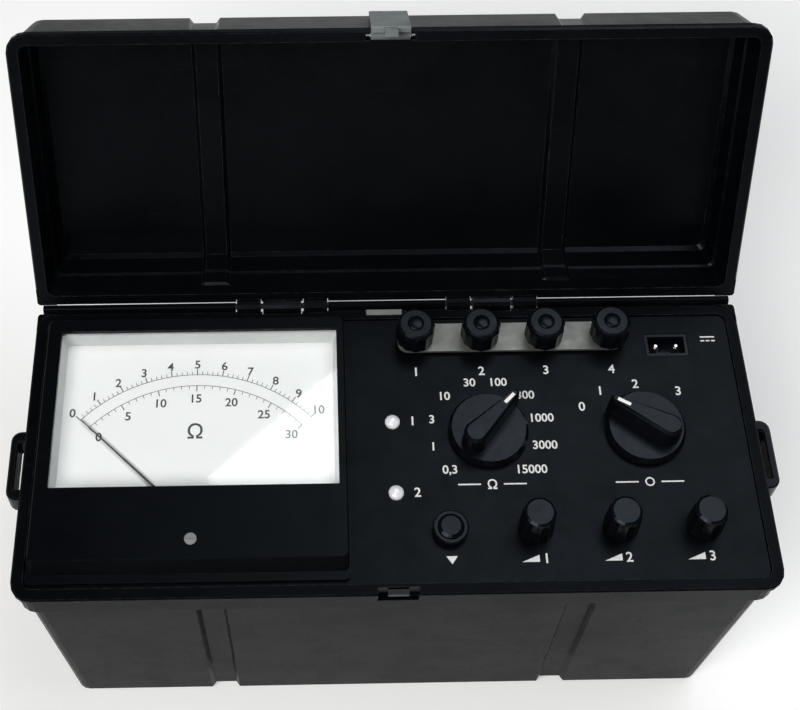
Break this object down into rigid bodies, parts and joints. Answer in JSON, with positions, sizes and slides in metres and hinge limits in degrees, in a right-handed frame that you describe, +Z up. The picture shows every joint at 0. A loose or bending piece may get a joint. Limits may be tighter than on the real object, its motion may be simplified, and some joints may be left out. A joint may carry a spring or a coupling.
{
  "type": "earth resistance meter",
  "caption": "Portable earth resistance meter in a black moulded case with a hinged lid, wide dial window, rotary switches, preset knobs and screw terminals.",
  "frame": {"origin": "centre of the case's flat bottom, on the surface that it stands on", "axes": "+Z up, +X to the right of the person reading the dial, +Y to the rear where the lid is hinged"},
  "size_m": [0.3056, 0.2005, 0.2479],
  "materials": {
    "black_moulding": "glossy near-black moulded case plastic with fine scuffs",
    "panel_black": "satin black panel and meter cover plastic",
    "knob_black": "semi-gloss black knob plastic",
    "latch_grey": "light grey latch plastic",
    "bright_steel": "bright plated steel",
    "grey_metal": "dull plated metal strip",
    "brass": "turned brass",
    "dial_white": "white painted dial plate with black scales",
    "pale_surround": "pale grey dial surround",
    "window_glass": "clear window pane",
    "milky_lens": "milky white lamp lens",
    "soft_iron": "dark magnet and core iron",
    "copper_winding": "copper coil and bronze hairspring",
    "battery_sleeve": "plain grey battery sleeve",
    "brown_laminate": "brown phenolic laminate",
    "needle_black": "black needle"
  },
  "bodies": {
    "case": {"case_body": "black_moulding", "strap_lug_left": "black_moulding", "strap_lug_right": "black_moulding", "battery_box": "black_moulding", "battery_door": "black_moulding", "meter_housing": "black_moulding", "control_panel": "panel_black", "meter_cover": "panel_black", "button_collar": "knob_black", "power_socket": "knob_black", "hinge_rod": "bright_steel", "case_catch": "bright_steel", "button_spring": "bright_steel", "socket_pin_left": "bright_steel", "socket_pin_right": "bright_steel", "terminal_stud_1": "bright_steel", "terminal_stud_2": "bright_steel", "terminal_stud_3": "bright_steel", "terminal_stud_4": "bright_steel", "hinge_keeper": "grey_metal", "link_bar": "grey_metal", "movement_frame": "brass", "dial_plate": "dial_white", "dial_surround": "pale_surround", "meter_glass": "window_glass", "lamp_lens_1": "milky_lens", "lamp_lens_2": "milky_lens", "magnet": "soft_iron", "pole_core": "soft_iron", "hairspring": "copper_winding", "battery_pack": "battery_sleeve", "range_switch": "brown_laminate", "mode_switch": "brown_laminate", "trim_pot_1": "brown_laminate", "trim_pot_2": "brown_laminate", "trim_pot_3": "brown_laminate", "button_switch": "brown_laminate", "circuit_board": "brown_laminate"},
    "lid": {"lid": "black_moulding", "latch_pin": "bright_steel"},
    "latch": {"lid_latch": "latch_grey"},
    "range_rotor": {"range_knob": "knob_black", "range_shaft": "bright_steel"},
    "mode_rotor": {"mode_knob": "knob_black", "mode_shaft": "bright_steel"},
    "trim_1": {"trim_knob_1": "knob_black"},
    "trim_2": {"trim_knob_2": "knob_black"},
    "trim_3": {"trim_knob_3": "knob_black"},
    "button": {"measure_button": "knob_black"},
    "pointer": {"needle": "needle_black", "moving_coil": "copper_winding"},
    "corrector": {"zero_corrector": "bright_steel"},
    "terminal_1_washer": {"terminal_washer_1": "bright_steel"},
    "terminal_1_cap": {"terminal_cap_1": "knob_black"},
    "terminal_2_washer": {"terminal_washer_2": "bright_steel"},
    "terminal_2_cap": {"terminal_cap_2": "knob_black"},
    "terminal_3_washer": {"terminal_washer_3": "bright_steel"},
    "terminal_3_cap": {"terminal_cap_3": "knob_black"},
    "terminal_4_washer": {"terminal_washer_4": "bright_steel"},
    "terminal_4_cap": {"terminal_cap_4": "knob_black"}
  },
  "joints": [
    {"name": "lid_hinge", "type": "hinge", "parent": "case", "child": "lid", "pos_m": [0, 0.0641, 0.128], "axis": [-1, 0, 0], "range_deg": [-114.6, 0]},
    {"name": "latch_rock", "type": "hinge", "parent": "lid", "child": "latch", "pos_m": [0, 0.11747, 0.23928], "axis": [-1, 0, 0], "range_deg": [-10, 0]},
    {"name": "range_turn", "type": "hinge", "parent": "case", "child": "range_rotor", "pos_m": [0.0385, 0.0051, 0.135], "axis": [0, 0, 1], "range_deg": [-90, 180]},
    {"name": "mode_turn", "type": "hinge", "parent": "case", "child": "mode_rotor", "pos_m": [0.1015, 0.0051, 0.135], "axis": [0, 0, 1], "range_deg": [-90, 0]},
    {"name": "trim_1_turn", "type": "hinge", "parent": "case", "child": "trim_1", "pos_m": [0.0539, -0.0357, 0.135], "axis": [0, 0, 1], "range_deg": [-135, 135]},
    {"name": "trim_2_turn", "type": "hinge", "parent": "case", "child": "trim_2", "pos_m": [0.0866, -0.0357, 0.135], "axis": [0, 0, 1], "range_deg": [-135, 135]},
    {"name": "trim_3_turn", "type": "hinge", "parent": "case", "child": "trim_3", "pos_m": [0.119, -0.0357, 0.135], "axis": [0, 0, 1], "range_deg": [-135, 135]},
    {"name": "button_press", "type": "slide", "parent": "case", "child": "button", "axis": [0, 0, -1], "range_m": [0, 0.003], "stiffness_N_per_m": 300, "springref_m": -0.001, "deforming": ["button_spring"]},
    {"name": "pointer_swing", "type": "hinge", "parent": "case", "child": "pointer", "pos_m": [-0.079, -0.0303, 0.12], "axis": [0, 0, -1], "range_deg": [0, 92.6], "stiffness_Nm_per_rad": 0.00002},
    {"name": "zero_adjust", "type": "hinge", "parent": "case", "child": "corrector", "pos_m": [-0.0785, -0.0411, 0.13], "axis": [0, 0, 1], "continuous": true},
    {"name": "terminal_1_rise", "type": "slide", "parent": "case", "child": "terminal_1_washer", "axis": [0, 0, 1], "range_m": [0, 0.0028]},
    {"name": "terminal_1_turn", "type": "hinge", "parent": "terminal_1_washer", "child": "terminal_1_cap", "pos_m": [0.0109, 0.0473, 0.135], "axis": [0, 0, 1], "range_deg": [-5, 1445]},
    {"name": "terminal_2_rise", "type": "slide", "parent": "case", "child": "terminal_2_washer", "axis": [0, 0, 1], "range_m": [0, 0.0028]},
    {"name": "terminal_2_turn", "type": "hinge", "parent": "terminal_2_washer", "child": "terminal_2_cap", "pos_m": [0.0378, 0.0473, 0.135], "axis": [0, 0, 1], "range_deg": [-5, 1445]},
    {"name": "terminal_3_rise", "type": "slide", "parent": "case", "child": "terminal_3_washer", "axis": [0, 0, 1], "range_m": [0, 0.0028]},
    {"name": "terminal_3_turn", "type": "hinge", "parent": "terminal_3_washer", "child": "terminal_3_cap", "pos_m": [0.0643, 0.0473, 0.135], "axis": [0, 0, 1], "range_deg": [-5, 1445]},
    {"name": "terminal_4_rise", "type": "slide", "parent": "case", "child": "terminal_4_washer", "axis": [0, 0, 1], "range_m": [0, 0.0028]},
    {"name": "terminal_4_turn", "type": "hinge", "parent": "terminal_4_washer", "child": "terminal_4_cap", "pos_m": [0.0913, 0.0473, 0.135], "axis": [0, 0, 1], "range_deg": [-5, 1445]}
  ],
  "couplings": [
    {"joint": "terminal_1_turn", "follows": "terminal_1_rise", "rad_per_m": 8976},
    {"joint": "terminal_2_turn", "follows": "terminal_2_rise", "rad_per_m": 8976},
    {"joint": "terminal_3_turn", "follows": "terminal_3_rise", "rad_per_m": 8976},
    {"joint": "terminal_4_turn", "follows": "terminal_4_rise", "rad_per_m": 8976}
  ]
}
